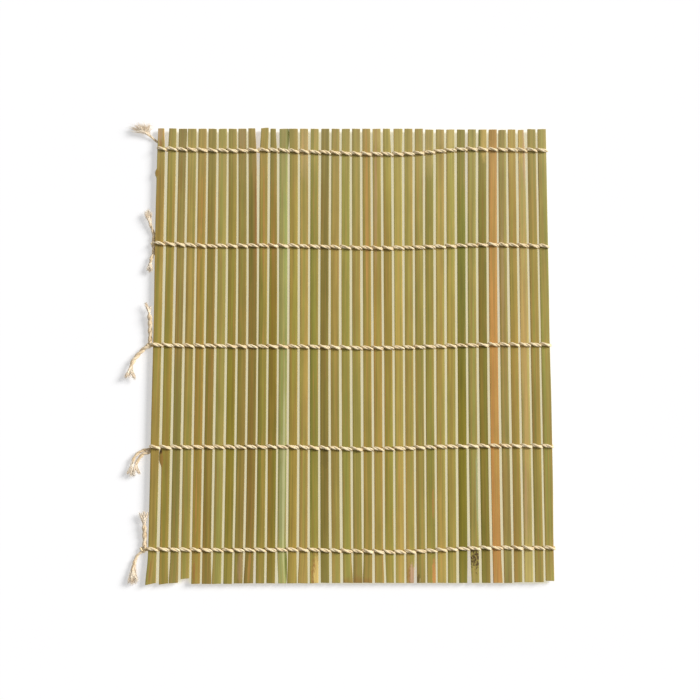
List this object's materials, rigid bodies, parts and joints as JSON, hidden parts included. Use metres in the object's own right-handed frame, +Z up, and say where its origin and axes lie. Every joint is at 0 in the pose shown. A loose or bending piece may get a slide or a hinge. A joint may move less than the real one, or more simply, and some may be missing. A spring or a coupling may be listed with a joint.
{
  "type": "bamboo rolling mat",
  "caption": "Flat mat of narrow green bamboo slats laid side by side and twined together by rows of cotton twine, knotted with frayed ends at one side.",
  "frame": {"origin": "on the surface that the mat lies on, under the centre of its footprint, the twine's free ends included", "axes": "+X across the slats, from the side with the knots to the side where the twine is folded; +Y along the slats; +Z up"},
  "size_m": [0.2232, 0.2432, 0.0046],
  "materials": {
    "bamboo_olive": "split green bamboo, olive, satin, fine lengthwise fibres",
    "bamboo_umber": "split green bamboo, grey-brown olive, satin",
    "bamboo_brown": "split green bamboo, brown olive, satin",
    "bamboo_green": "split green bamboo, greener, satin",
    "bamboo_moss": "split green bamboo, dark olive green, satin",
    "bamboo_jade": "split green bamboo, pale green with a light stripe, satin",
    "bamboo_light": "split green bamboo, light yellow olive, satin",
    "bamboo_tan": "split bamboo, orange tan, satin",
    "bamboo_straw": "split bamboo, pale straw with pinkish patches, satin",
    "twine": "soft two-ply cream cotton twine, matt"
  },
  "bodies": {
    "root": {"slat_01": "bamboo_olive", "slat_02": "bamboo_olive", "slat_03": "bamboo_umber", "slat_04": "bamboo_olive", "slat_05": "bamboo_brown", "slat_06": "bamboo_umber", "slat_07": "bamboo_green", "slat_08": "bamboo_umber", "slat_09": "bamboo_umber", "slat_10": "bamboo_brown", "slat_11": "bamboo_olive", "slat_12": "bamboo_moss", "slat_13": "bamboo_jade", "slat_14": "bamboo_olive", "slat_15": "bamboo_light", "slat_16": "bamboo_umber", "slat_17": "bamboo_umber", "slat_18": "bamboo_olive", "slat_19": "bamboo_olive", "slat_20": "bamboo_olive", "slat_21": "bamboo_olive", "slat_22": "bamboo_light", "slat_23": "bamboo_olive", "slat_24": "bamboo_light", "slat_25": "bamboo_light", "slat_26": "bamboo_olive", "slat_27": "bamboo_green", "slat_28": "bamboo_light", "slat_29": "bamboo_light", "slat_30": "bamboo_moss", "slat_31": "bamboo_green", "slat_32": "bamboo_moss", "slat_33": "bamboo_tan", "slat_34": "bamboo_olive", "slat_35": "bamboo_light", "slat_36": "bamboo_straw", "slat_37": "bamboo_olive", "slat_38": "bamboo_green", "twine_1": "twine", "twine_2": "twine", "twine_3": "twine", "twine_4": "twine", "twine_5": "twine", "knot_1": "twine", "knot_2": "twine", "knot_3": "twine", "knot_4": "twine", "knot_5": "twine"}
  },
  "joints": []
}
